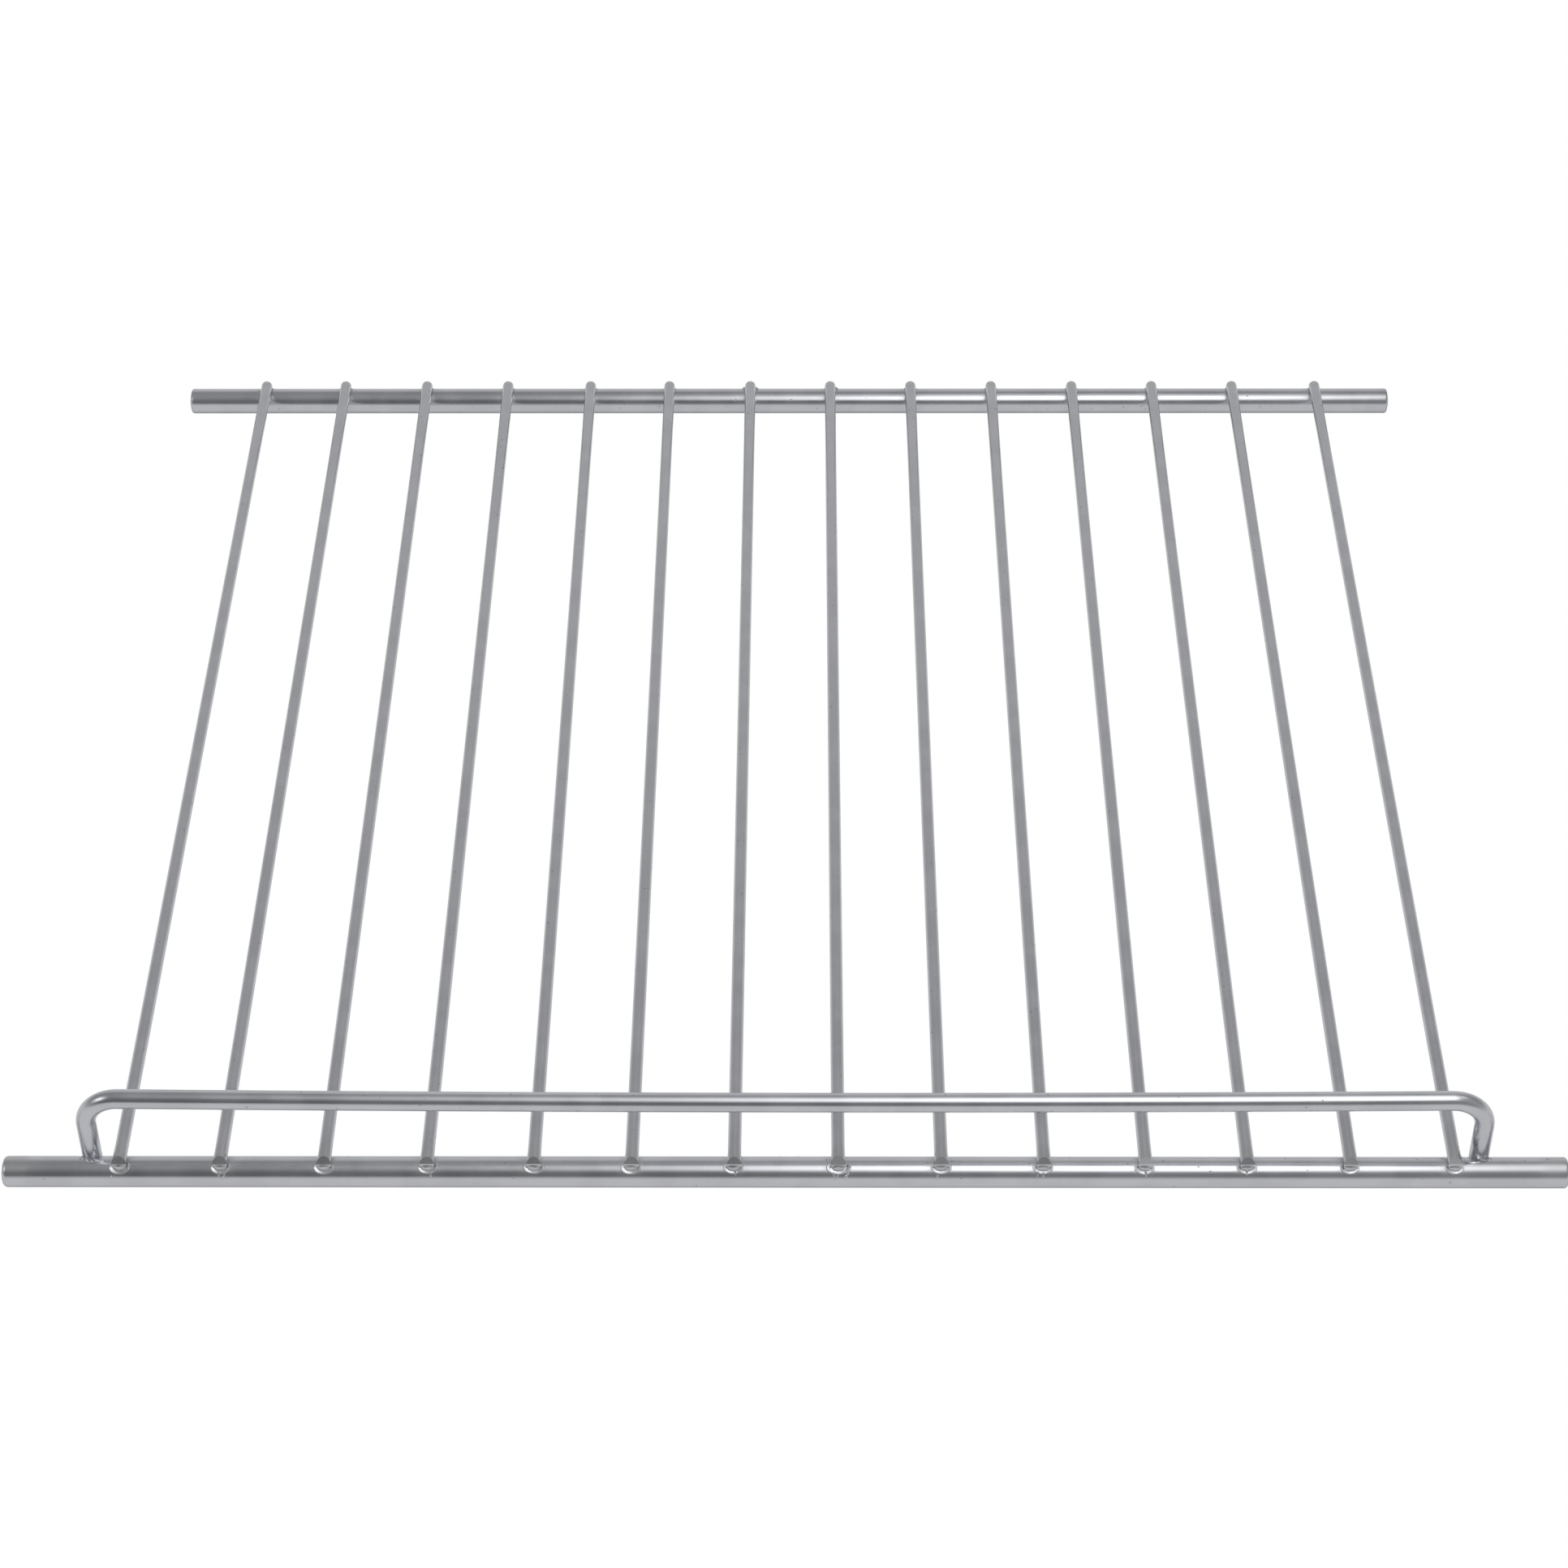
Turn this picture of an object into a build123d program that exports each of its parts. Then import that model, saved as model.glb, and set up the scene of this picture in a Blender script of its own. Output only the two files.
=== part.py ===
from build123d import *
import os

# Wire shelf from a refrigerator: two thick cross rods carry a row of thin shelf wires,
# and a bent guard rail stands on the front rod. All pieces are plated steel wire,
# joined by resistance welds that press each piece a little way into the rod below it.
# X runs along the rods, Y from the front to the back, Z up, in millimetres.
# The origin is midway between the rods, level with the underside of both.

# Cross rods
ROD_DIAMETER = 8.0
ROD_SPACING = 335.0  # front rod axis to back rod axis
FRONT_ROD_END = 30.35  # front rod past the axis of each outer wire
BACK_ROD_END = 24.9  # the back rod is shorter, where the liner narrows
ROD_END_CHAMFER = 0.8  # edge taken off each cropped rod end

# Shelf wires
WIRE_DIAMETER = 3.4
WIRE_COUNT = 14
WIRE_PITCH = 26.1
WIRE_SET_DOWN = 0.8  # how far a weld presses a wire into a rod
WIRE_FRONT_REACH = 2.8  # wire past the front rod's axis
WIRE_BACK_REACH = 2.8  # wire past the back rod's axis

# Weld beads on the front rod: metal squeezed out under a wire, wide on the rod and
# drawn in towards the wire. The back welds are set down with no bead to speak of.
WIRE_BEAD_SPREAD = 1.2  # wide end of the bead past the wire on each side
WIRE_BEAD_ROOT = 1.5  # wide end below the top of the rod
WIRE_BEAD_RISE = 1.3  # narrow end above the top of the rod
WIRE_BEAD_LEAN = 10.0  # degrees from upright, towards the cut end
BEAD_TUCK = 0.5  # narrow end inside the wire that it grips

# Guard rail
RAIL_DIAMETER = 5.0
RAIL_CLEAR_GAP = 14.2  # from the tops of the wires to the underside of the rail
RAIL_BEND_RADIUS = 9.0  # to the middle of the wire
LEG_SIDE_GAP = 3.5  # clear space between a leg and the outer wire
LEG_SEAT_DEPTH = 3.0  # how far a leg is coped into the back of the front rod
LEG_BEAD_SPREAD = 0.9  # flare of a leg's weld where it meets the rod's axis plane
LEG_BEAD_RISE = 3.5  # flare height above the top of the rod

ROD_RADIUS = ROD_DIAMETER / 2
WIRE_RADIUS = WIRE_DIAMETER / 2
RAIL_RADIUS = RAIL_DIAMETER / 2

OUTER_WIRE_X = (WIRE_COUNT - 1) * WIRE_PITCH / 2
FRONT_ROD_LENGTH = 2 * (OUTER_WIRE_X + FRONT_ROD_END)
BACK_ROD_LENGTH = 2 * (OUTER_WIRE_X + BACK_ROD_END)
FRONT_Y = -ROD_SPACING / 2
BACK_Y = ROD_SPACING / 2
ROD_Z = ROD_RADIUS
WIRE_Z = ROD_Z + ROD_RADIUS + WIRE_RADIUS - WIRE_SET_DOWN
RAIL_Z = WIRE_Z + WIRE_RADIUS + RAIL_CLEAR_GAP + RAIL_RADIUS
LEG_X = OUTER_WIRE_X + WIRE_RADIUS + LEG_SIDE_GAP + RAIL_RADIUS
LEG_Y = FRONT_Y + ROD_RADIUS + RAIL_RADIUS - LEG_SEAT_DEPTH

# A chamfer stays inside the radius that it is cut on
LARGEST_CHAMFER_SHARE = 0.9


def rod(length, y):
    """A straight rod along X with its sharp ends taken off."""
    bar = Pos(0, y, ROD_Z) * Rot(0, 90, 0) * Cylinder(ROD_RADIUS, length)
    rims = bar.edges().filter_by(GeomType.CIRCLE)
    return chamfer(rims, min(ROD_END_CHAMFER, LARGEST_CHAMFER_SHARE * ROD_RADIUS))


def rod_channel(y):
    """The space that a rod fills, without end, for seats cut into what lies on it."""
    return Pos(0, y, ROD_Z) * Rot(0, 90, 0) * Cylinder(ROD_RADIUS, 2 * FRONT_ROD_LENGTH)


def bead_cone(wire_radius, spread, height):
    """Weld metal round a wire, standing on its wide end, with its seam to the back."""
    base_first = (Align.CENTER, Align.CENTER, Align.MIN)
    return Rot(0, 0, 90) * Cone(wire_radius + spread, wire_radius - BEAD_TUCK, height, align=base_first)


def wire_bead():
    """The bead under a wire's front end, leaning forward about the front rod's axis."""
    bead = bead_cone(WIRE_RADIUS, WIRE_BEAD_SPREAD, WIRE_BEAD_ROOT + WIRE_BEAD_RISE)
    seated = Rot(WIRE_BEAD_LEAN, 0, 0) * Pos(0, 0, ROD_RADIUS - WIRE_BEAD_ROOT) * bead
    return Pos(0, FRONT_Y, ROD_Z) * seated


def shelf_wire():
    """One straight wire, its bead, and the seats that both rods press into it."""
    front = FRONT_Y - WIRE_FRONT_REACH
    length = BACK_Y + WIRE_BACK_REACH - front
    along_y = Rot(90, 0, 0) * Rot(0, 0, 90)
    wire = Pos(0, front + length / 2, WIRE_Z) * along_y * Cylinder(WIRE_RADIUS, length)
    return wire + wire_bead() - rod_channel(FRONT_Y) - rod_channel(BACK_Y)


def leg_bead(x):
    """The flare of weld metal at the foot of a leg, round the leg's own axis."""
    return Pos(x, LEG_Y, ROD_Z) * bead_cone(RAIL_RADIUS, LEG_BEAD_SPREAD, ROD_RADIUS + LEG_BEAD_RISE)


def guard_rail():
    """A wire bent down at both ends, its two legs coped onto the back of the front rod."""
    path = FilletPolyline(
        (-LEG_X, LEG_Y, ROD_Z),
        (-LEG_X, LEG_Y, RAIL_Z),
        (LEG_X, LEG_Y, RAIL_Z),
        (LEG_X, LEG_Y, ROD_Z),
        radius=RAIL_BEND_RADIUS,
    )
    section = Plane(origin=path @ 0, z_dir=path % 0) * Circle(RAIL_RADIUS)
    rail = sweep(section, path=path) + leg_bead(-LEG_X) + leg_bead(LEG_X)
    return rail - rod_channel(FRONT_Y)


pieces = {
    "front_rod": rod(FRONT_ROD_LENGTH, FRONT_Y),
    "back_rod": rod(BACK_ROD_LENGTH, BACK_Y),
    "guard_rail": guard_rail(),
}
centred_wire = shelf_wire()
for number in range(WIRE_COUNT):
    wire_x = number * WIRE_PITCH - OUTER_WIRE_X
    pieces[f"shelf_wire_{number + 1:02d}"] = Pos(wire_x, 0, 0) * centred_wire

os.makedirs("parts", exist_ok=True)
for name, piece in pieces.items():
    export_step(piece, f"parts/{name}.step")
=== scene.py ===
import math
import random

import bmesh
import bpy
from mathutils import Matrix, Vector


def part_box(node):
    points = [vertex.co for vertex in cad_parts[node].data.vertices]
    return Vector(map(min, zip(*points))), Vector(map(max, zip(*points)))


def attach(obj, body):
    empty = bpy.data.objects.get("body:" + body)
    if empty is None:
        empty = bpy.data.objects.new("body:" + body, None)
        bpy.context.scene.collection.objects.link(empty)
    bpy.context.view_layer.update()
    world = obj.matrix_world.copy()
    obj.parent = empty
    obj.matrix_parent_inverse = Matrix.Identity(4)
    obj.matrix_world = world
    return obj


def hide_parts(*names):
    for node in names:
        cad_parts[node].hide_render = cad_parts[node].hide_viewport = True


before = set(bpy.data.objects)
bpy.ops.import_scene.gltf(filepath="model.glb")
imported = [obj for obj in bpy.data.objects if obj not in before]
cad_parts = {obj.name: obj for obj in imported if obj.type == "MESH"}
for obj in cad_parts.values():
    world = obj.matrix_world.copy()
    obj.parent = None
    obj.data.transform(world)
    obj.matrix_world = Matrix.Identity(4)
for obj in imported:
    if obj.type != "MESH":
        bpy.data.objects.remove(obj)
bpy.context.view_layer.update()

# The two cross rods: 8 mm drawn steel, cropped to length, tumbled until the cut ends are
# blunt, and plated with the rest of the shelf after welding. The front rod is the longer.
# Both rest by their ends on ledges in the cabinet's side walls.
MM = 0.001
ROD_SIDES = 72
ROD_CORNER_STEPS = 6
ROD_DOME = ((0.5 * MM, 0.14 * MM), (0.9 * MM, 0.2 * MM), (1.0 * MM, 0.11 * MM))
ROD_CORNERS = {"front_rod": (1.2 * MM, 0.9 * MM), "back_rod": (0.9 * MM, 0.8 * MM)}
END_ON = 0.9
SEAM_GAP = 0.002 * MM
SMOOTH_ANGLE = math.radians(30)


def set_down():
    """Object mode with nothing selected, ready for the next primitive."""
    if bpy.context.object and bpy.context.object.mode != "OBJECT":
        bpy.ops.object.mode_set(mode="OBJECT")
    bpy.ops.object.select_all(action="DESELECT")


def pick_up(piece):
    """Select one piece alone and make it the one that operators act on."""
    set_down()
    bpy.context.view_layer.objects.active = piece
    piece.select_set(True)


def choose(parts, test):
    """In edit mode, select only the faces, edges or verts that pass a test."""
    bpy.ops.mesh.select_mode(type={"faces": "FACE", "edges": "EDGE", "verts": "VERT"}[parts])
    bpy.ops.mesh.select_all(action="DESELECT")
    mesh = bmesh.from_edit_mesh(bpy.context.object.data)
    for part in getattr(mesh, parts):
        part.select_set(test(part))
    bmesh.update_edit_mesh(bpy.context.object.data)


def fix_in_place(piece, name):
    """Name a new piece and put its place into its mesh."""
    piece.name = name
    piece.data.name = name
    bpy.ops.object.transform_apply(location=True, rotation=True, scale=True)


def tidy_mesh(piece):
    """Close the seams of a finished mesh, face it outwards and smooth its rounds."""
    pick_up(piece)
    bpy.ops.object.mode_set(mode="EDIT")
    bpy.ops.mesh.select_all(action="SELECT")
    bpy.ops.mesh.remove_doubles(threshold=SEAM_GAP)
    bpy.ops.mesh.normals_make_consistent(inside=False)
    bpy.ops.object.mode_set(mode="OBJECT")
    bpy.ops.object.shade_smooth_by_angle(angle=SMOOTH_ANGLE)


def drawn_rod(node):
    """A rod along X with a blunt corner and a slight crown on each cropped end."""
    low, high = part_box(node)
    length = high.x - low.x - 2 * sum(rise for inset, rise in ROD_DOME)
    set_down()
    bpy.ops.mesh.primitive_cylinder_add(
        vertices=ROD_SIDES, radius=(high.y - low.y) / 2, depth=length,
        location=(low + high) / 2, rotation=(0, math.pi / 2, 0))
    rod = bpy.context.object
    fix_in_place(rod, "plated_" + node)
    bpy.ops.object.mode_set(mode="EDIT")
    for side, corner in zip((-1, 1), ROD_CORNERS[node]):
        choose("faces", lambda face: side * face.normal.x > END_ON)
        bpy.ops.mesh.bevel(offset=corner, segments=ROD_CORNER_STEPS, affect="EDGES")
        choose("faces", lambda face: side * face.normal.x > END_ON and len(face.verts) == ROD_SIDES)
        for inset, rise in ROD_DOME:
            bpy.ops.mesh.inset(thickness=inset, depth=rise)
    tidy_mesh(rod)
    return rod


class Value:
    """A shader socket that takes part in plain sums, each adding its Math node."""

    def __init__(self, finish, socket):
        self.finish = finish
        self.socket = socket

    def math(self, operation, first, second=0.0):
        return self.finish.node("ShaderNodeMath", {"operation": operation}, {0: first, 1: second})

    def __add__(self, other):
        return self.math("ADD", self, other)

    def __sub__(self, other):
        return self.math("SUBTRACT", self, other)

    def __rsub__(self, other):
        return self.math("SUBTRACT", other, self)

    def __mul__(self, other):
        return self.math("MULTIPLY", self, other)

    def __truediv__(self, other):
        return self.math("DIVIDE", self, other)

    def __abs__(self):
        return self.math("ABSOLUTE", self)

    def exp(self):
        return self.math("EXPONENT", self)

    __radd__ = __add__
    __rmul__ = __mul__


class Finish:
    """The nodes of a material or a world, added one at a time."""

    def __init__(self, owner):
        self.owner = owner
        owner.use_nodes = True
        self.tree = owner.node_tree
        self.tree.nodes.clear()

    def node(self, kind, settings, inputs, output=0):
        """Add a node, set it up, fill its sockets, and give one of its outputs."""
        node = self.tree.nodes.new(kind)
        for key, setting in settings.items():
            setattr(node, key, setting)
        for key, value in inputs.items():
            if isinstance(key, str):
                socket = next(s for s in node.inputs if s.enabled and s.name == key)
            else:
                socket = node.inputs[key]
            if isinstance(value, Value):
                self.tree.links.new(value.socket, socket)
            else:
                socket.default_value = value
        if isinstance(output, str):
            return Value(self, next(s for s in node.outputs if s.enabled and s.name == output))
        return Value(self, node.outputs[output]) if node.outputs else None

    def along(self, place, axis):
        """A place's distance along X, Y or Z."""
        return self.node("ShaderNodeSeparateXYZ", {}, {"Vector": place}, axis)

    def noise(self, place, stretch, detail=2.0):
        """Soft noise from 0 to 1, its lumps 1/stretch metres long on each axis."""
        spread = self.node("ShaderNodeMapping", {}, {"Vector": place, "Scale": stretch}, "Vector")
        return self.node(
            "ShaderNodeTexNoise", {}, {"Vector": spread, "Scale": 1.0, "Detail": detail}, "Fac")

    def step(self, value, low, high):
        """0 below low, 1 above high, and a smooth rise between."""
        return self.node(
            "ShaderNodeMapRange", {"interpolation_type": "SMOOTHSTEP"},
            {"Value": value, "From Min": low, "From Max": high}, "Result")

    def blend(self, share, first, second):
        """One colour turning into another."""
        return self.node(
            "ShaderNodeMix", {"data_type": "RGBA"}, {"Factor": share, "A": first, "B": second}, "Result")


PLATE_LIGHT = (0.695, 0.709, 0.749, 1)
PLATE_GREY = (0.607, 0.621, 0.655, 1)
PLATE_PIT = (0.34, 0.34, 0.34, 1)
WELD_TINT = (0.486, 0.472, 0.432, 1)
LINES_ALONG = 50
LINES_ACROSS = 5200
CLOUDS = 95
CLOUD_EDGE = (0.35, 0.65)
GRAIN = 2600
FINE_DETAIL = 3.0
PIT_CELLS = 260.0
PIT_EDGE = (0.05, 0.11)
CLOUD_TINT = 0.6
LINE_TINT = 0.4
HEAT_STAIN = 0.4
PIT_STAIN = 0.55
PLATE_ROUGH = 0.17
CLOUD_ROUGH = 0.05
GRAIN_ROUGH = 0.06
HEAT_ROUGH = 0.1
PIT_ROUGH = 0.2
LINE_RISE = 0.12
GRAIN_RISE = 0.15
HEATED_GRAIN_RISE = 0.25
PIT_FALL = 0.8
RELIEF_DEPTH = 0.03 * MM


def plated_steel(name, drawn, weld_mask, relief):
    """Bright plating over drawn steel: die lines along the axes in drawn, cloudy patches, fine
    grain and stray pits, and a duller, warmer skin where weld_mask says a weld has heated it.
    Relief is how strongly the lines, grain and pits show in the surface."""
    finish = Finish(bpy.data.materials.new(name))
    place = finish.node("ShaderNodeTexCoord", {}, {}, "Object")
    die_lines = finish.noise(place, [LINES_ALONG if axis in drawn else LINES_ACROSS for axis in "xyz"])
    cloud = finish.noise(place, (CLOUDS, CLOUDS, CLOUDS), FINE_DETAIL)
    grain = finish.noise(place, (GRAIN, GRAIN, GRAIN), FINE_DETAIL)
    cell = finish.node(
        "ShaderNodeTexVoronoi", {"feature": "F1"},
        {"Vector": place, "Scale": PIT_CELLS, "Randomness": 1.0}, "Distance")
    pit = 1 - finish.step(cell, *PIT_EDGE)
    heat = weld_mask(finish, place)
    patch = finish.step(cloud, *CLOUD_EDGE)
    skin = finish.blend(patch * CLOUD_TINT + die_lines * LINE_TINT, PLATE_GREY, PLATE_LIGHT)
    skin = finish.blend(heat * grain * HEAT_STAIN, skin, WELD_TINT)
    skin = finish.blend(pit * PIT_STAIN, skin, PLATE_PIT)
    rough = PLATE_ROUGH + patch * CLOUD_ROUGH + grain * GRAIN_ROUGH + heat * HEAT_ROUGH + pit * PIT_ROUGH
    height = die_lines * LINE_RISE + grain * (heat * HEATED_GRAIN_RISE + GRAIN_RISE) - pit * PIT_FALL
    normal = finish.node(
        "ShaderNodeBump", {}, {"Strength": relief, "Distance": RELIEF_DEPTH, "Height": height}, "Normal")
    surface = finish.node(
        "ShaderNodeBsdfPrincipled", {},
        {"Base Color": skin, "Metallic": 1.0, "Roughness": rough, "Normal": normal}, "BSDF")
    finish.node("ShaderNodeOutputMaterial", {}, {"Surface": surface})
    return finish.owner


STRAIGHT_RELIEF = 0.35
WELD_HALO = 4.2 * MM
HALO_CORE = 0.3 * WELD_HALO
HALO_FOOT = 5.5 * MM
HALO_TOP = 7.5 * MM
wire_nodes = sorted(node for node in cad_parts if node.startswith("shelf_wire_"))
wire_low, wire_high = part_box(wire_nodes[0])
first_wire_x = (wire_low.x + wire_high.x) / 2
wire_pitch = -2 * first_wire_x / (len(wire_nodes) - 1)


def rod_heat(finish, place):
    """Patches on a rod's top round each wire, where the welding current has dulled the plating."""
    lap = finish.node(
        "ShaderNodeMath", {"operation": "WRAP"},
        {0: finish.along(place, "X"), 1: first_wire_x + wire_pitch / 2, 2: first_wire_x - wire_pitch / 2})
    near = 1 - finish.step(abs(lap - first_wire_x), HALO_CORE, WELD_HALO)
    return near * finish.step(finish.along(place, "Z"), HALO_FOOT, HALO_TOP)


rod_plating = plated_steel("rod_plating", "x", rod_heat, STRAIGHT_RELIEF)
rods = {}
for node in ROD_CORNERS:
    rods[node] = drawn_rod(node)
    rods[node].data.materials.append(rod_plating)
    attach(rods[node], "root")
    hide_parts(node)

# The fourteen shelf wires: straight 3.4 mm steel, laid in a jig across both rods and
# resistance welded. The shears leave a sloping facet on each front end, and every front weld
# sinks its wire into the rod and squeezes out a lip of metal, with a stray spur here and there.
WIRE_SIDES = 40
WIRE_TIP_ROUND = 1.5 * MM
WIRE_TIP_STEPS = 8
WIRE_RINGS = (1.6 * MM, 2.8 * MM, 4.2 * MM, 6.5 * MM, 12.0 * MM)
WIRE_FLARE = ((0.0, 1.1), (1.6 * MM, 1.07), (2.8 * MM, 1.03))
RING_GAP = 0.01 * MM
WIRE_SHORT = 1.05 * MM
WIRE_SINK = 0.8 * MM
SHEAR_ANGLE = 41
SHEAR_SPREAD = 2
# How far down each wire's end the sloping facet starts, in mm.
WIRE_FACETS = (1.6, 1.7, 1.6, 1.45, 1.4, 1.4, 1.5, 1.8, 1.5, 1.4, 1.3, 1.4, 1.5, 1.3)
# How far each wire's front and back stand to the right of its place in the jig, in mm.
WIRE_DRIFT = (
    (0.3, 0.2), (-0.1, -0.2), (0.3, 0.1), (0.4, 0.3), (1.5, 1.0), (0.3, 0.5), (0.3, 0.6),
    (0.6, 0.4), (0.7, 0.3), (0.7, 0.3), (0.4, 0.3), (0.2, 0.1), (0.3, 0.0), (0.7, 0.7),
)
# The lip's section from the wire outwards: radius and height over the rod, in mm.
LIP_PROFILE = (
    (1.05, -0.8), (1.05, 0.02), (1.45, 0.03), (1.75, 0.09), (2.05, 0.155),
    (2.28, 0.205), (2.42, 0.205), (2.52, 0.12), (2.56, 0.0), (2.5, -0.8),
)
LIP_SIDES = 64
LIP_LEAN = 0.47
LIP_LEAN_SPREAD = 0.04
LIP_ASIDE = (-0.3, 0.1)
LIP_SQUASH = 0.64
LIP_SPREAD = (0.95, 1.08)
LIP_GROWTH = {7: 1.25}
LIP_HIGH_SIDE = 0.3
LIP_WIDTH = 4 * MM
WELD_PAD = (1.55 * MM, 0.95 * MM, 0.4 * MM)
PAD_LEAN = 1.2
PAD_RISE = 0.8 * MM
LUMP_SIDES = 32
LUMP_RINGS = 18
WELD_UNEVEN = 0.18 * MM
LIP_UNEVEN = 0.06 * MM
WELD_LUMP_SIZE = 1.1 * MM
MELT_GRAIN = 0.08 * MM
MELT_SMOOTHING = 3
MELT_SOFTNESS = 0.5
SPUR_SIDES = 16
SPUR_THICKNESS = 0.3 * MM
SPUR_TAPER = 0.15
SPUR_SWELL = 0.3
SPUR_LIFT = 0.05 * MM
# Spurs by wire: the root's and the end's mm to the right, and angle round the rod from its top.
SPURS = {
    0: ((-1.9, 0.95, -2.1, 1.2),),
    1: ((1.3, 0.7, 0.5, 1.3), (-0.2, 0.75, -0.4, 1.12)),
    3: ((0.9, 0.75, 1.1, 1.2),),
    6: ((0.3, 0.6, 0.4, 1.0),),
    7: ((-1.2, 0.75, -0.7, 1.32), (0.0, 0.85, -0.7, 1.28)),
    8: ((-0.9, 0.9, -1.0, 1.22),),
    9: ((-0.2, 0.75, -0.1, 1.2), (-1.5, 0.7, -1.7, 1.08)),
    10: ((0.1, 0.7, 0.2, 1.08),),
    11: ((-0.2, 0.65, -0.1, 0.96),),
}
# Flecks of spatter by wire: mm to the right, and angle round the rod.
FLECKS = {0: ((2.3, 0.3),), 1: ((2.3, 0.35),), 3: ((2.4, 0.3),), 7: ((2.8, 0.35), (2.5, 0.8), (2.0, 1.0))}
FLECK_SIZE = (0.5 * MM, 0.5 * MM, 0.45 * MM)
# Flash beside a back weld: its size, and how far it stands from the wire's middle.
SMALL_FLASH = ((0.8 * MM, 1.0 * MM, 0.45 * MM), 1.3 * MM)
LARGE_FLASH = ((1.2 * MM, 1.2 * MM, 0.8 * MM), 1.45 * MM)
LARGE_FLASH_HANDS = {6: (-1, 1), 7: (1,)}
FLASH_LEAN = -0.35
FLASH_SINK = 0.05 * MM
WEB_WIRE = 13
WEB_REACH = 2.3 * MM
WEB_THICKNESS = 0.9 * MM
WEB_ROUND = 0.3 * MM
WEB_ROUND_STEPS = 3
WEB_ASIDE = 1.0 * MM
WEB_BEHIND = 1.6 * MM
WEB_SINK = 0.2 * MM
WELD_SEED = 14
front_low, front_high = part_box("front_rod")
back_low, back_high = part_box("back_rod")
rod_radius = (front_high.z - front_low.z) / 2
front_axis = Vector((0, (front_low.y + front_high.y) / 2, (front_low.z + front_high.z) / 2))
back_axis = Vector((0, (back_low.y + back_high.y) / 2, (back_low.z + back_high.z) / 2))
wire_radius = (wire_high.z - front_high.z + WIRE_SINK) / 2
wire_axis_z = wire_high.z - wire_radius
wire_bottom_z = wire_axis_z - wire_radius
cut_y = wire_low.y + WIRE_SHORT
tip_y = wire_high.y


def straight_wire():
    """One wire at X 0: round-nosed at the back, cropped and pressed wider at the front."""
    set_down()
    bpy.ops.mesh.primitive_cylinder_add(
        vertices=WIRE_SIDES, radius=wire_radius, depth=tip_y - cut_y,
        location=(0, (cut_y + tip_y) / 2, wire_axis_z), rotation=(math.pi / 2, 0, 0))
    wire = bpy.context.object
    fix_in_place(wire, "wire_pattern")
    bpy.ops.object.mode_set(mode="EDIT")
    choose("faces", lambda face: face.normal.y > END_ON)
    bpy.ops.mesh.bevel(offset=WIRE_TIP_ROUND, segments=WIRE_TIP_STEPS, affect="EDGES")
    for ring in WIRE_RINGS:
        for y in (cut_y + ring, tip_y - WIRE_TIP_ROUND - ring):
            bpy.ops.mesh.select_all(action="SELECT")
            bpy.ops.mesh.bisect(plane_co=(0, y, wire_axis_z), plane_no=(0, 1, 0))
    for ring, wide in WIRE_FLARE:
        choose("verts", lambda vert: abs(vert.co.y - cut_y - ring) < RING_GAP)
        bpy.ops.transform.resize(value=(wide, 1, 1), center_override=(0, cut_y, wire_axis_z))
    tidy_mesh(wire)
    return wire


def sheared(wire, facet, steep):
    """Take the top corner off a wire's front end with a sloping cut."""
    pick_up(wire)
    slope = Vector((0, -math.cos(steep), math.sin(steep)))
    bpy.ops.object.mode_set(mode="EDIT")
    bpy.ops.mesh.select_all(action="SELECT")
    bpy.ops.mesh.bisect(
        plane_co=(0, cut_y, wire_high.z - facet), plane_no=slope, clear_outer=True, use_fill=True)
    bpy.ops.object.mode_set(mode="OBJECT")


lumps = bpy.data.textures.new("weld_lumps", "CLOUDS")
lumps.noise_scale = WELD_LUMP_SIZE


def roughen(lump, amount):
    """Make a piece of weld metal uneven."""
    rough = lump.modifiers.new("lumps", "DISPLACE")
    rough.texture = lumps
    rough.texture_coords = "LOCAL"
    rough.strength = amount
    rough.mid_level = 0.5
    bpy.ops.object.modifier_apply(modifier="lumps")


def lump_of_weld(place, size, lean):
    """A rounded lump of squeezed-out metal, leaning forward by an angle."""
    set_down()
    bpy.ops.mesh.primitive_uv_sphere_add(
        segments=LUMP_SIDES, ring_count=LUMP_RINGS, radius=1,
        location=place, rotation=(lean, 0, 0), scale=size)
    lump = bpy.context.object
    fix_in_place(lump, "weld_lump")
    roughen(lump, WELD_UNEVEN)
    return lump


def draw_out(step):
    """In edit mode, extrude what is selected by one step."""
    bpy.ops.mesh.extrude_region_move(TRANSFORM_OT_translate={"value": step})


def flat_lip():
    """A shallow dish of squeezed-out metal with a raised rim, flat, with a hole for the wire."""
    hole, bottom = LIP_PROFILE[0]
    set_down()
    bpy.ops.mesh.primitive_circle_add(
        vertices=LIP_SIDES, radius=hole * MM, fill_type="NOTHING", location=(0, 0, bottom * MM))
    lip = bpy.context.object
    fix_in_place(lip, "lip_pattern")
    bpy.ops.object.mode_set(mode="EDIT")
    bpy.ops.mesh.select_all(action="SELECT")
    for (radius, height), (next_radius, next_height) in zip(LIP_PROFILE, LIP_PROFILE[1:]):
        draw_out((0, 0, (next_height - height) * MM))
        grow = next_radius / radius
        bpy.ops.transform.resize(value=(grow, grow, 1), center_override=(0, 0, 0))
    bpy.ops.mesh.select_mode(type="EDGE")
    bpy.ops.mesh.select_all(action="DESELECT")
    bpy.ops.mesh.select_non_manifold()
    bpy.ops.mesh.bridge_edge_loops()
    tidy_mesh(lip)
    return lip


def on_rod(axis, x, angle, out):
    """A point round a rod: angle from the top towards the front, out from its axis."""
    return Vector((x, axis.y - math.sin(angle) * out, axis.z + math.cos(angle) * out))


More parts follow.
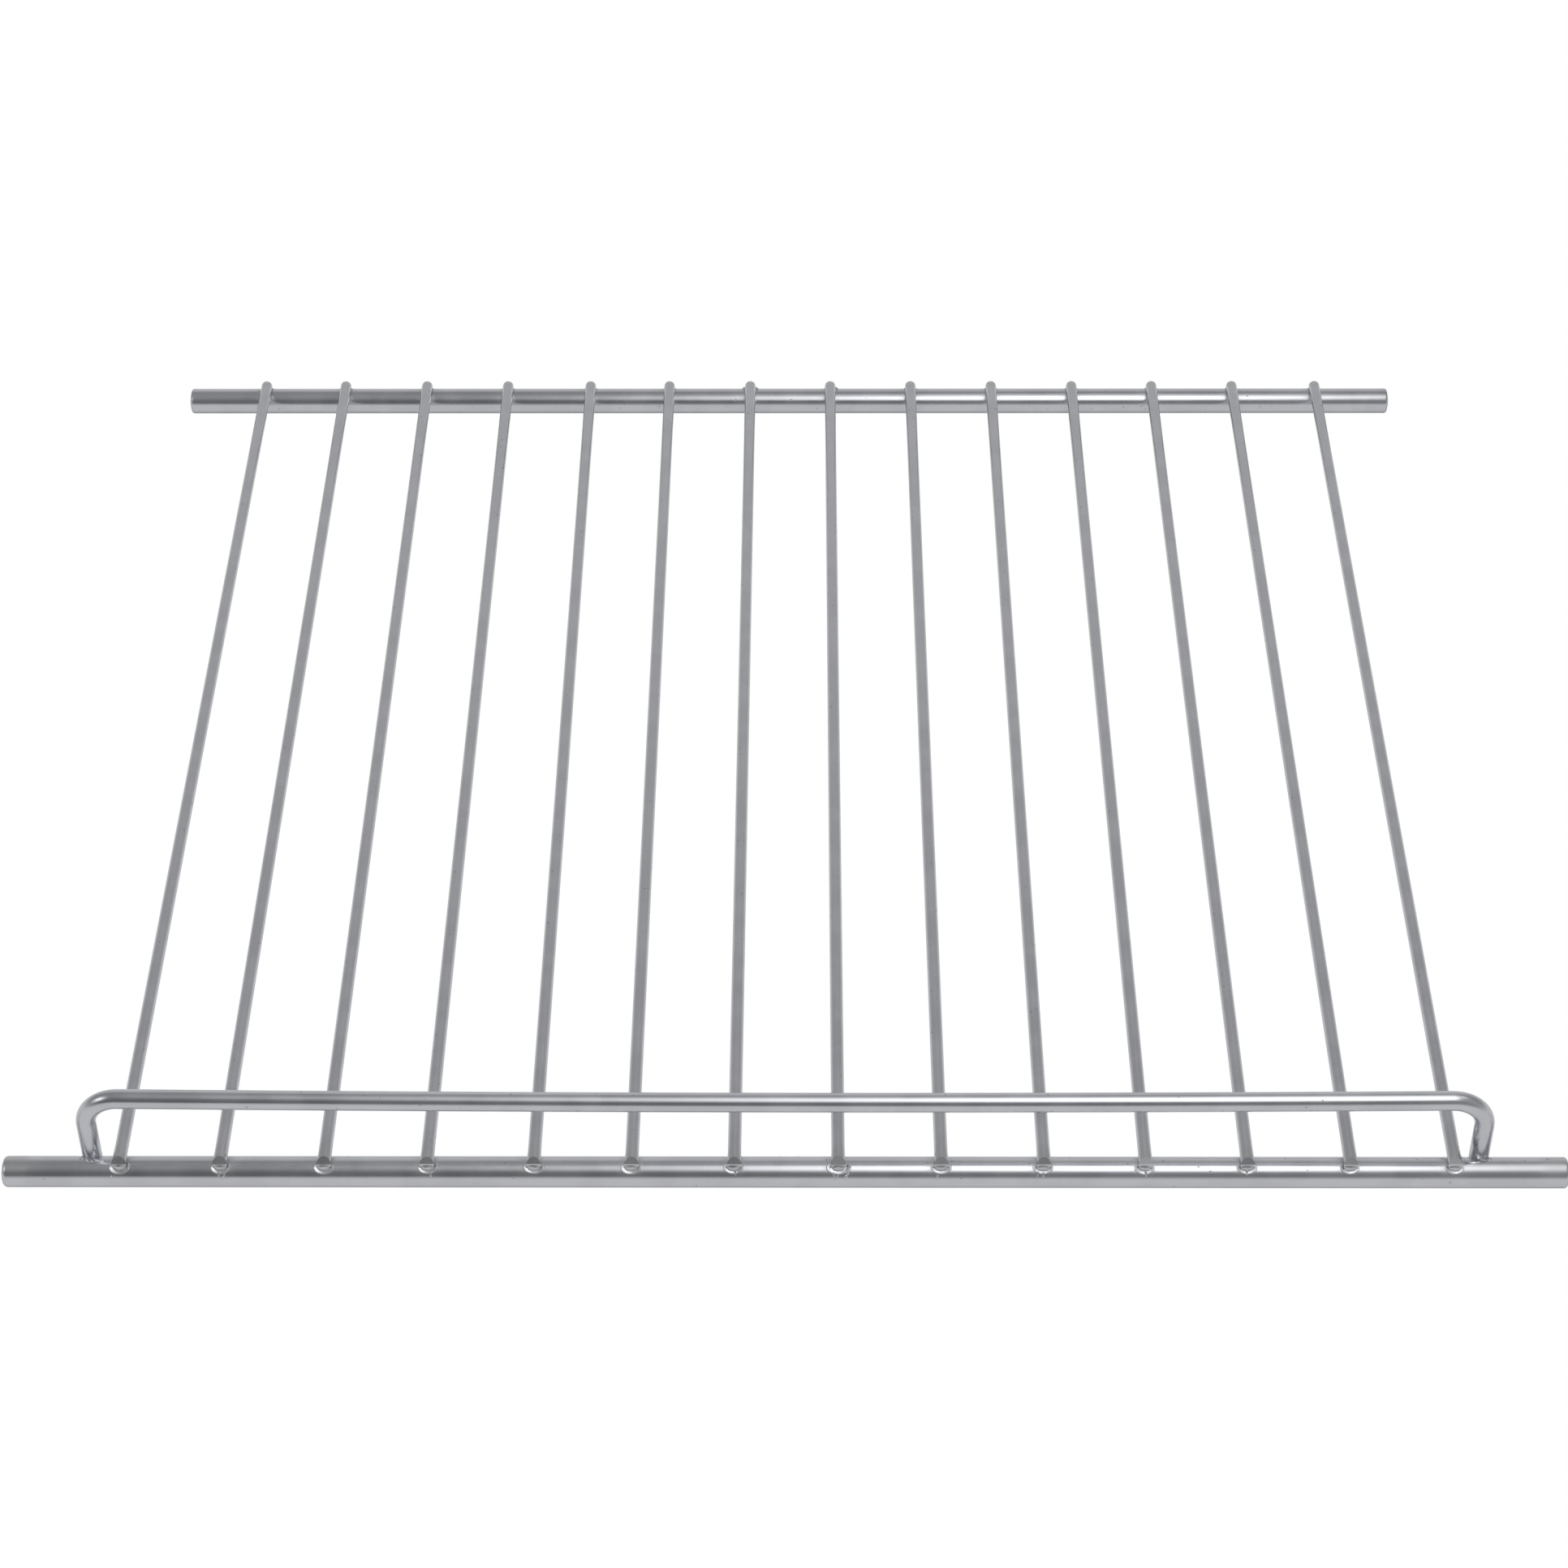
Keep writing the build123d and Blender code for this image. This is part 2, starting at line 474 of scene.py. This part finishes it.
def lip_of_weld(lip_pattern, x, lean, grow):
    """The lip wrapped round the front rod, higher towards the lower left."""
    lip = bpy.data.objects.new("weld_lip", lip_pattern.data.copy())
    bpy.context.scene.collection.objects.link(lip)
    for vert in lip.data.vertices:
        across, along, height = vert.co
        low_left = (-across - along) / LIP_WIDTH
        if height > 0:
            height *= 1 + LIP_HIGH_SIDE * low_left
        angle = lean - along * LIP_SQUASH / rod_radius
        vert.co = on_rod(front_axis, x + across * grow, angle, rod_radius + height)
    pick_up(lip)
    roughen(lip, LIP_UNEVEN)
    return lip


def spur_of_weld(start, end):
    """A thin spike of metal thrown out of a weld."""
    set_down()
    way = end - start
    bpy.ops.mesh.primitive_cone_add(
        vertices=SPUR_SIDES, radius1=SPUR_THICKNESS, radius2=SPUR_THICKNESS * SPUR_TAPER, depth=way.length,
        location=(start + end) / 2, rotation=way.to_track_quat("Z", "Y").to_euler())
    spur = bpy.context.object
    fix_in_place(spur, "weld_spur")
    bpy.ops.object.mode_set(mode="EDIT")
    choose("edges", lambda edge: True)
    bpy.ops.mesh.subdivide(number_cuts=1, smoothness=SPUR_SWELL)
    set_down()
    return spur


def web_of_weld(place):
    """A three-cornered web of metal left in the corner between a wire and a rod."""
    set_down()
    bpy.ops.mesh.primitive_cylinder_add(vertices=3, radius=WEB_REACH, depth=WEB_THICKNESS, location=place)
    web = bpy.context.object
    fix_in_place(web, "weld_web")
    bpy.ops.object.mode_set(mode="EDIT")
    bpy.ops.mesh.select_all(action="SELECT")
    bpy.ops.mesh.bevel(offset=WEB_ROUND, segments=WEB_ROUND_STEPS, affect="EDGES")
    set_down()
    return web


def melted(parts):
    """Pieces of weld metal melted into one smooth lump."""
    set_down()
    for part in parts:
        part.select_set(True)
    bpy.context.view_layer.objects.active = parts[0]
    bpy.ops.object.join()
    lump = bpy.context.object
    melt = lump.modifiers.new("melt", "REMESH")
    melt.mode = "VOXEL"
    melt.voxel_size = MELT_GRAIN
    soften = lump.modifiers.new("soften", "SMOOTH")
    soften.factor = MELT_SOFTNESS
    soften.iterations = MELT_SMOOTHING
    for modifier in ("melt", "soften"):
        bpy.ops.object.modifier_apply(modifier=modifier)
    return lump


def cut_seat(piece, rod):
    """Cut a rod's seat out of a piece that presses into it."""
    pick_up(piece)
    seat = piece.modifiers.new("seat", "BOOLEAN")
    seat.operation = "DIFFERENCE"
    seat.object = rod
    seat.solver = "EXACT"
    bpy.ops.object.modifier_apply(modifier="seat")


def weld_on(piece, metal, rod_pieces):
    """Cut the rods' seats into a piece and its weld metal, then make the two one piece."""
    for rod in rod_pieces:
        cut_seat(piece, rod)
        cut_seat(metal, rod)
    set_down()
    metal.select_set(True)
    piece.select_set(True)
    bpy.context.view_layer.objects.active = piece
    bpy.ops.object.join()


FRONT_DULL = (1.5 * MM, 5 * MM)
BACK_DULL = (-2 * MM, 1 * MM)
BACK_HEAT = 0.4


def wire_heat(finish, place):
    """The ends of a wire, where the welds have dulled it."""
    along = finish.along(place, "Y")
    front = 1 - finish.step(along, *(front_axis.y + edge for edge in FRONT_DULL))
    back = finish.step(along, *(back_axis.y + edge for edge in BACK_DULL))
    return front + back * BACK_HEAT


wire_plating = plated_steel("wire_plating", "y", wire_heat, STRAIGHT_RELIEF)
wire_pattern = straight_wire()
lip_pattern = flat_lip()
dice = random.Random(WELD_SEED)
for number, node in enumerate(wire_nodes):
    low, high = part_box(node)
    wire_x = (low.x + high.x) / 2
    front_drift, back_drift = WIRE_DRIFT[number]
    front_x = wire_x + front_drift * MM
    back_x = wire_x + back_drift * MM
    wire = bpy.data.objects.new("plated_" + node, wire_pattern.data.copy())
    bpy.context.scene.collection.objects.link(wire)
    steep = math.radians(SHEAR_ANGLE + dice.uniform(-SHEAR_SPREAD, SHEAR_SPREAD))
    sheared(wire, WIRE_FACETS[number] * MM, steep)
    for vert in wire.data.vertices:
        share = (vert.co.y - front_axis.y) / (back_axis.y - front_axis.y)
        vert.co.x += front_x + (back_x - front_x) * share
    grow = LIP_GROWTH.get(number, dice.uniform(*LIP_SPREAD))
    weld_x = front_x + dice.uniform(*LIP_ASIDE) * MM
    lean = LIP_LEAN + dice.uniform(-LIP_LEAN_SPREAD, LIP_LEAN_SPREAD)
    pad = lump_of_weld((weld_x, cut_y, wire_bottom_z + PAD_RISE), WELD_PAD, PAD_LEAN)
    metal = [pad, lip_of_weld(lip_pattern, weld_x, lean, grow)]
    for root_x, root_angle, end_x, end_angle in SPURS.get(number, ()):
        root = on_rod(front_axis, front_x + root_x * MM, root_angle, rod_radius)
        end = on_rod(front_axis, front_x + end_x * MM, end_angle, rod_radius + SPUR_LIFT)
        metal.append(spur_of_weld(root, end))
    for fleck_x, angle in FLECKS.get(number, ()):
        spot = on_rod(front_axis, front_x + fleck_x * MM, angle, rod_radius)
        metal.append(lump_of_weld(spot, FLECK_SIZE, angle))
    if number == WEB_WIRE:
        corner = (front_x + WEB_ASIDE, front_axis.y + WEB_BEHIND, front_high.z - WEB_SINK)
        metal.append(web_of_weld(corner))
    for hand in (-1, 1):
        size, out = LARGE_FLASH if hand in LARGE_FLASH_HANDS.get(number, ()) else SMALL_FLASH
        spot = on_rod(back_axis, back_x + hand * out, FLASH_LEAN, rod_radius - FLASH_SINK)
        metal.append(lump_of_weld(spot, size, FLASH_LEAN))
    weld_on(wire, melted(metal), rods.values())
    wire.data.materials.clear()
    wire.data.materials.append(wire_plating)
    tidy_mesh(wire)
    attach(wire, "root")
    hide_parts(node)
bpy.data.objects.remove(wire_pattern)
bpy.data.objects.remove(lip_pattern)

# The guard rail: 5 mm steel wire bent down at both ends, its two legs coped onto the back
# of the front rod and welded there. It keeps bottles from sliding off the shelf, and years
# of leaning bottles have let its long top sag a little.
RAIL_SIDES = 44
RAIL_RADIUS = 2.5 * MM
RAIL_BEND = 9.0 * MM
RAIL_BEND_STEPS = 18
RAIL_SPANS = 32
RAIL_SAG = 1.0 * MM
RAIL_DROP = 0.35 * MM
RAIL_SHIFT = 0.05 * MM
RAIL_RELIEF = 0.12
LEG_GAP = 3.35 * MM
LEG_SEAT = 3.0 * MM
LEG_STEPS = (0.35, 0.3, 0.35)
# Pools of weld at a leg's foot: mm outwards, angle round the rod, and size in mm.
LEG_POOLS = ((-1.9, -0.08, (2.0, 1.0, 0.4)), (2.3, -0.35, (0.8, 0.8, 0.35)), (0.1, -0.32, (2.4, 0.7, 0.25)))
POOL_SINK = 0.12 * MM
LEG_DULL = 3 * MM
LEG_HEAT = 0.4
rail_low, rail_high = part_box("guard_rail")
leg_x = wire_radius + LEG_GAP + RAIL_RADIUS - first_wire_x
leg_y = front_axis.y + rod_radius + RAIL_RADIUS - LEG_SEAT
foot_z = rail_low.z
left_bend_z = rail_high.z - RAIL_RADIUS - RAIL_BEND
right_bend_z = left_bend_z - RAIL_DROP


def bend_rail(x, z):
    """Turn the rail's open end through a quarter circle round a centre at x and z."""
    bpy.ops.mesh.spin(
        steps=RAIL_BEND_STEPS, angle=-math.pi / 2, axis=(0, 1, 0), center=(x, leg_y, z))


def rail_height(share):
    """Height of the rail's axis above its right end, share of the way from left to right."""
    return RAIL_DROP * (1 - share) - 4 * RAIL_SAG * share * (1 - share)


set_down()
bpy.ops.mesh.primitive_circle_add(
    vertices=RAIL_SIDES, radius=RAIL_RADIUS, fill_type="NOTHING",
    location=(RAIL_SHIFT - leg_x, leg_y, foot_z))
rail = bpy.context.object
fix_in_place(rail, "plated_guard_rail")
bpy.ops.object.mode_set(mode="EDIT")
bpy.ops.mesh.select_all(action="SELECT")
for rise in LEG_STEPS:
    draw_out((0, 0, rise * (left_bend_z - foot_z)))
bend_rail(RAIL_SHIFT - leg_x + RAIL_BEND, left_bend_z)
span = 2 * (leg_x - RAIL_BEND) / RAIL_SPANS
for number in range(RAIL_SPANS):
    climb = rail_height((number + 1) / RAIL_SPANS) - rail_height(number / RAIL_SPANS)
    draw_out((span, 0, climb))
bend_rail(RAIL_SHIFT + leg_x - RAIL_BEND, right_bend_z)
for fall in LEG_STEPS:
    draw_out((0, 0, -fall * (right_bend_z - foot_z)))
for hand in (-1, 1):
    choose("edges", lambda edge: edge.is_boundary and hand * edge.verts[0].co.x > 0)
    bpy.ops.mesh.edge_face_add()
tidy_mesh(rail)

feet = []
for hand in (-1, 1):
    for out, angle, size in LEG_POOLS:
        pool = on_rod(front_axis, RAIL_SHIFT + hand * (leg_x + out * MM), angle, rod_radius - POOL_SINK)
        feet.append(lump_of_weld(pool, Vector(size) * MM, angle))
weld_on(rail, melted(feet), [rods["front_rod"]])


def rail_heat(finish, place):
    """The feet of the two legs, where the welds have dulled them."""
    height = finish.along(place, "Z")
    return (1 - finish.step(height, front_high.z, front_high.z + LEG_DULL)) * LEG_HEAT


rail.data.materials.clear()
rail.data.materials.append(plated_steel("rail_plating", "xz", rail_heat, RAIL_RELIEF))
tidy_mesh(rail)
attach(rail, "root")
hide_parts("guard_rail")

# The studio: a white table that washes out every shadow, a soft box overhead to the right
# that fades away to its left, two smaller lights to the sides, and a room that is pale behind
# the shelf and dim in front of it. The camera looks down on the shelf from the front.
NO_LIGHT = (0, 0, 0, 1)
WHITE_LIGHT = (1, 1, 1, 1)
WARM_LIGHT = (1, 0.95, 0.8, 1)
# Each light's fade is how fast it falls off, in metres, to either side on its own X and Y.
LIGHTS = {
    "soft_box": {
        "place": (0.28, -0.435, 1.0), "turn": (0, 0, 0), "size": 3.0,
        "glow": 2.37, "tint": WHITE_LIGHT, "fade": ((0.215, 0.15), (0.29, 0.38))},
    "left_light": {
        "place": (-1.25, -0.5, 0.95), "turn": (0, math.radians(-55), 0), "size": 2.0,
        "glow": 1.7, "tint": WHITE_LIGHT, "fade": ((0.2, 0.2), (0.25, 0.25))},
    "right_light": {
        "place": (0.74, 0.0, 1.0), "turn": (0, math.radians(35), 0), "size": 1.5,
        "glow": 0.9, "tint": WARM_LIGHT, "fade": ((0.1, 0.1), (0.15, 0.15))},
}


def light_panel(name, place, turn, size, glow, tint, fade):
    """A clear panel with a light in its middle that fades out at its own rate on each side."""
    finish = Finish(bpy.data.materials.new(name))
    spot = finish.node("ShaderNodeTexCoord", {}, {}, "Object")
    spread = 0.0
    for axis, (before, after) in zip("XY", fade):
        along = finish.along(spot, axis)
        low_side = along.math("MINIMUM", along, 0.0) / before
        high_side = along.math("MAXIMUM", along, 0.0) / after
        spread = low_side * low_side + high_side * high_side + spread
    shade = finish.blend((spread * -0.5).exp(), NO_LIGHT, tint)
    light = finish.node("ShaderNodeEmission", {}, {"Color": shade, "Strength": glow}, "Emission")
    clear = finish.node("ShaderNodeBsdfTransparent", {}, {}, "BSDF")
    both = finish.node("ShaderNodeAddShader", {}, {0: light, 1: clear}, "Shader")
    finish.node("ShaderNodeOutputMaterial", {}, {"Surface": both})
    set_down()
    bpy.ops.mesh.primitive_plane_add(size=size, location=place, rotation=turn)
    board = bpy.context.object
    board.name = name
    board.data.materials.append(finish.owner)
    board.visible_camera = False


for name, light in LIGHTS.items():
    light_panel(name, **light)

FLOOR_SIZE = 24.0
FLOOR_DEPTH = 0.2 * MM
BOUNCE_DEPTH = 0.3 * MM
FLOOR_GLOW = 0.667
# Painted contact shadow on the floor: how much the glow is darkened near the rods and right under them, and
# over what distances.
NEAR_SHADE = 0.02
NEAR_REACH = (2 * MM, 15 * MM)
CONTACT_SHADE = 0.22
CONTACT_REACH = (3.2 * MM, 5 * MM)


def floor_plane(name, depth, glow, near, contact):
    """A table top that glows upwards, with a painted shadow near and right under the rods, and clear from
    below.
    """
    finish = Finish(bpy.data.materials.new(name))
    spot = finish.node("ShaderNodeTexCoord", {}, {}, "Object")
    gap = abs(abs(finish.along(spot, "Y")) - back_axis.y)
    shade = glow - (1 - finish.step(gap, *NEAR_REACH)) * near
    shade = shade - (1 - finish.step(gap, *CONTACT_REACH)) * contact
    light = finish.node("ShaderNodeEmission", {}, {"Color": shade}, "Emission")
    clear = finish.node("ShaderNodeBsdfTransparent", {}, {}, "BSDF")
    below = finish.node("ShaderNodeNewGeometry", {}, {}, "Backfacing")
    top = finish.node("ShaderNodeMixShader", {}, {0: below, 1: light, 2: clear}, "Shader")
    finish.node("ShaderNodeOutputMaterial", {}, {"Surface": top})
    set_down()
    bpy.ops.mesh.primitive_plane_add(size=FLOOR_SIZE, location=(0, 0, -depth))
    plane = bpy.context.object
    plane.name = name
    plane.data.materials.append(finish.owner)
    return plane


floor = floor_plane("floor", FLOOR_DEPTH, 1.0, 0.0, 0.0)
floor.visible_glossy = False
# A second floor, seen only in reflections, that carries the painted shadow along and right under the rods.
floor_bounce = floor_plane("floor_bounce", BOUNCE_DEPTH, FLOOR_GLOW, NEAR_SHADE, CONTACT_SHADE)
floor_bounce.visible_camera = False

ROOM_FRONT = 0.15
ROOM_TOP = 0.148
TOP_EDGE = (-0.9, -0.1)
ROOM_BACK = 0.39
BACK_EDGE = (0.52, 1.05)
ROOM_RIGHT = 0.096
RIGHT_EDGE = (-0.2, 0.3)
RIGHT_END = (-0.3, 0.2)
ROOM_LOW = 0.49
LOW_EDGE = (0.145, 0.185)
room = Finish(bpy.data.worlds.new("dim_room"))
way = room.node("ShaderNodeTexCoord", {}, {}, "Generated")
rightward = room.along(way, "X")
backward = room.along(way, "Y")
upward = room.along(way, "Z")
shade = ROOM_FRONT + room.step(backward, *TOP_EDGE) * ROOM_TOP + room.step(backward, *BACK_EDGE) * ROOM_BACK
shade = shade + room.step(rightward, *RIGHT_EDGE) * (1 - room.step(backward, *RIGHT_END)) * ROOM_RIGHT
shade = shade + (ROOM_LOW - shade) * (1 - room.step(upward, *LOW_EDGE))
seen = room.node("ShaderNodeLightPath", {}, {}, "Is Camera Ray")
shade = shade + (1 - shade) * seen
sky = room.node("ShaderNodeBackground", {}, {"Color": shade, "Strength": 1.0}, "Background")
room.node("ShaderNodeOutputWorld", {}, {"Surface": sky})
bpy.context.scene.world = room.owner
bpy.context.scene.view_settings.view_transform = "Standard"

FRAME_PIXELS = 1932
FOCAL_PIXELS = 4400
SENSOR = 36.0
CAMERA_PLACE = Vector((4.73, -780.22, 686.62)) * MM
CAMERA_PITCH = math.radians(41.886)
CAMERA_YAW = math.radians(-0.413)
CAMERA_ROLL = math.radians(-0.263)
level = math.cos(CAMERA_PITCH)
forward = Vector((math.sin(CAMERA_YAW) * level, math.cos(CAMERA_YAW) * level, -math.sin(CAMERA_PITCH)))
sideways = Vector((math.cos(CAMERA_YAW), -math.sin(CAMERA_YAW), 0))
upright = sideways.cross(forward)
right = math.cos(CAMERA_ROLL) * sideways + math.sin(CAMERA_ROLL) * upright
up = right.cross(forward)
set_down()
bpy.ops.object.camera_add()
camera = bpy.context.object
camera.name = "camera"
camera.data.sensor_width = SENSOR
camera.data.lens = FOCAL_PIXELS / FRAME_PIXELS * SENSOR
turn = Matrix((right, up, -forward)).transposed()
camera.matrix_world = Matrix.Translation(CAMERA_PLACE) @ turn.to_4x4()
bpy.context.scene.camera = camera
